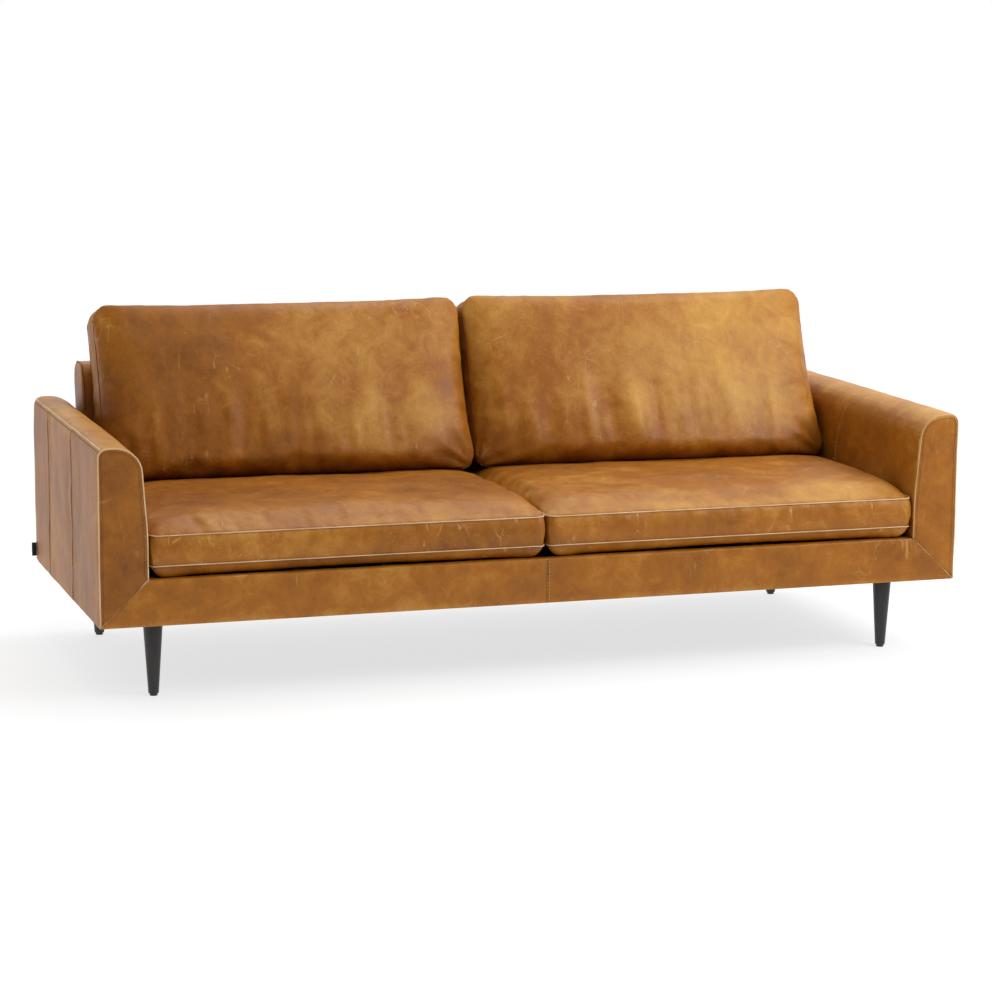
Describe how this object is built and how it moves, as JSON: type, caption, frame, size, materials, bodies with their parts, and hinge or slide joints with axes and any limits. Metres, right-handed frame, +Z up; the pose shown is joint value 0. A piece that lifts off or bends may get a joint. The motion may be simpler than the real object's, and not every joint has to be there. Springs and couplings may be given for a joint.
{
  "type": "sofa",
  "caption": "Low leather sofa with two loose seat cushions, two loose back cushions, slim padded arms and four tapered round wooden legs.",
  "frame": {"origin": "on the floor, under the middle of the sofa's outline", "axes": "+X along the sofa to the right of a person facing its front, -Y towards the front, +Z up"},
  "size_m": [2.212, 0.9, 0.8653],
  "materials": {
    "tan_leather": "waxed pull-up leather, mottled cognac tan, satin, with pale contrast stitching",
    "black_stained_wood": "black-stained turned hardwood, satin lacquer",
    "pine": "planed softwood, unfinished",
    "plywood": "raw birch plywood",
    "hardboard": "brown hardboard",
    "steel": "zinc-plated steel",
    "black_cloth": "black non-woven lining cloth",
    "label_fabric": "plain black woven tape",
    "foam": "open-cell upholstery foam",
    "fibre_fill": "white fibre filling in a cotton case",
    "nylon": "black nylon",
    "zip": "dark coil zip on woven tape"
  },
  "bodies": {
    "frame": {"front_rail": "pine", "rear_rail": "pine", "side_rail_left": "pine", "side_rail_right": "pine", "cross_rails": "pine", "leg_blocks": "pine", "zigzag_springs": "steel", "spring_clips": "steel", "deck_cloth": "black_cloth", "dust_cover": "black_cloth", "front_rail_foam": "foam", "front_rail_cover": "tan_leather", "arm_frame_left": "plywood", "arm_frame_right": "plywood", "arm_foam_left": "foam", "arm_foam_right": "foam", "arm_wrap_left": "tan_leather", "arm_wrap_right": "tan_leather", "arm_side_panel_left": "tan_leather", "arm_side_panel_right": "tan_leather", "arm_front_panel_left": "tan_leather", "arm_front_panel_right": "tan_leather", "arm_rear_panel_left": "tan_leather", "arm_rear_panel_right": "tan_leather", "arm_bolts": "steel", "back_posts": "plywood", "back_top_rail": "pine", "back_bottom_rail": "pine", "back_webbing": "black_cloth", "back_board": "hardboard", "back_foam": "foam", "back_cover_inside": "tan_leather", "back_cover_outside": "tan_leather", "back_bolts": "steel", "label_tab": "label_fabric", "leg_front_left": "black_stained_wood", "leg_front_right": "black_stained_wood", "leg_rear_left": "black_stained_wood", "leg_rear_right": "black_stained_wood", "leg_plates": "steel", "leg_bolts": "steel", "leg_glides": "nylon"},
    "seat_cushion_left": {"seat_cover_left": "tan_leather", "seat_foam_left": "foam", "seat_zip_left": "zip"},
    "back_cushion_left": {"back_cushion_cover_left": "tan_leather", "back_cushion_fill_left": "fibre_fill", "back_cushion_zip_left": "zip"},
    "seat_cushion_right": {"seat_cover_right": "tan_leather", "seat_foam_right": "foam", "seat_zip_right": "zip"},
    "back_cushion_right": {"back_cushion_cover_right": "tan_leather", "back_cushion_fill_right": "fibre_fill", "back_cushion_zip_right": "zip"}
  },
  "joints": [
    {"name": "seat_cushion_left_slide", "type": "slide", "parent": "frame", "child": "seat_cushion_left", "axis": [0, -1, 0], "range_m": [0, 0.71]},
    {"name": "seat_cushion_right_slide", "type": "slide", "parent": "frame", "child": "seat_cushion_right", "axis": [0, -1, 0], "range_m": [0, 0.71]},
    {"name": "back_cushion_left_lift", "type": "slide", "parent": "frame", "child": "back_cushion_left", "axis": [0, 0.2079, 0.9781], "range_m": [0, 0.45]},
    {"name": "back_cushion_right_lift", "type": "slide", "parent": "frame", "child": "back_cushion_right", "axis": [0, 0.2079, 0.9781], "range_m": [0, 0.45]}
  ]
}
